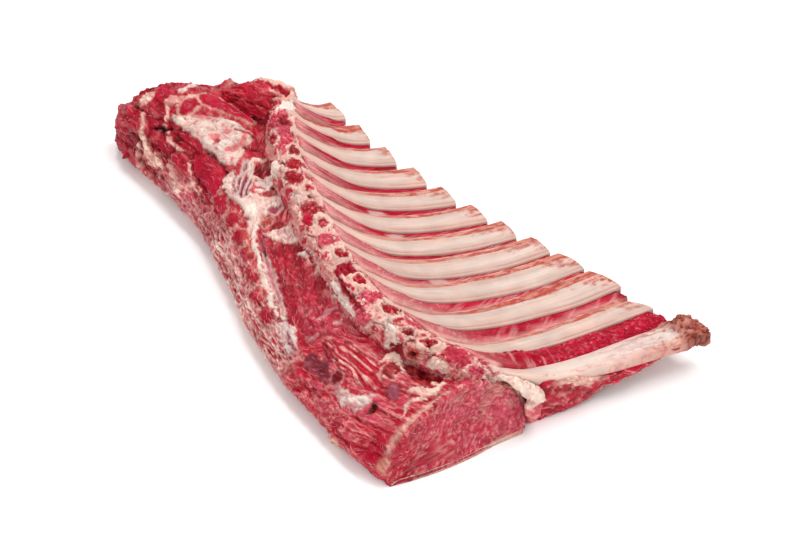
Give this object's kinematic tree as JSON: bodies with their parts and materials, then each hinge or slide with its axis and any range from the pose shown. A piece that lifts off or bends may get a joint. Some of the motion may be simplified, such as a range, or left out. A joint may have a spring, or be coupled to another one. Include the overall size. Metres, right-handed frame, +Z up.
{
  "type": "raw rack of lamb",
  "caption": "Raw rack of lamb lying on its back: curved ribs with red meat between them, a sawn backbone, a rolled flank of back meat and a cut loin muscle at one end.",
  "frame": {"origin": "middle of the bottom of the whole rack", "axes": "+Y along the back from the cut loin towards the shoulder end, +X from the back meat towards the rib tips, +Z up, away from the table"},
  "size_m": [0.2092, 0.3148, 0.0504],
  "materials": {
    "lean_meat": "dark red raw muscle with fine grain, pale marbling and a moist sheen",
    "rib_meat": "magenta red muscle under a thin shiny skin",
    "rib_bone": "smooth moist cream bone with pink stains",
    "marrow_bone": "sawn bone, cream rims around granular red marrow",
    "fat": "soft cream fat, slightly greasy"
  },
  "bodies": {
    "root": {"eye_muscle": "lean_meat", "back_muscle": "lean_meat", "fat_cover": "fat", "rib_cover": "lean_meat", "edge_flap": "lean_meat", "end_fat": "fat", "neck_end": "marrow_bone", "rib_01": "rib_bone", "rib_02": "rib_bone", "rib_03": "rib_bone", "rib_04": "rib_bone", "rib_05": "rib_bone", "rib_06": "rib_bone", "rib_07": "rib_bone", "rib_08": "rib_bone", "rib_09": "rib_bone", "rib_10": "rib_bone", "rib_11": "rib_bone", "rib_12": "rib_bone", "vertebra_01": "marrow_bone", "vertebra_02": "marrow_bone", "vertebra_03": "marrow_bone", "vertebra_04": "marrow_bone", "vertebra_05": "marrow_bone", "vertebra_06": "marrow_bone", "vertebra_07": "marrow_bone", "vertebra_08": "marrow_bone", "vertebra_09": "marrow_bone", "vertebra_10": "marrow_bone", "vertebra_11": "marrow_bone", "rib_meat_01": "rib_meat", "rib_meat_02": "rib_meat", "rib_meat_03": "rib_meat", "rib_meat_04": "rib_meat", "rib_meat_05": "rib_meat", "rib_meat_06": "rib_meat", "rib_meat_07": "rib_meat", "rib_meat_08": "rib_meat", "rib_meat_09": "rib_meat", "rib_meat_10": "rib_meat", "rib_meat_11": "rib_meat"}
  },
  "joints": []
}
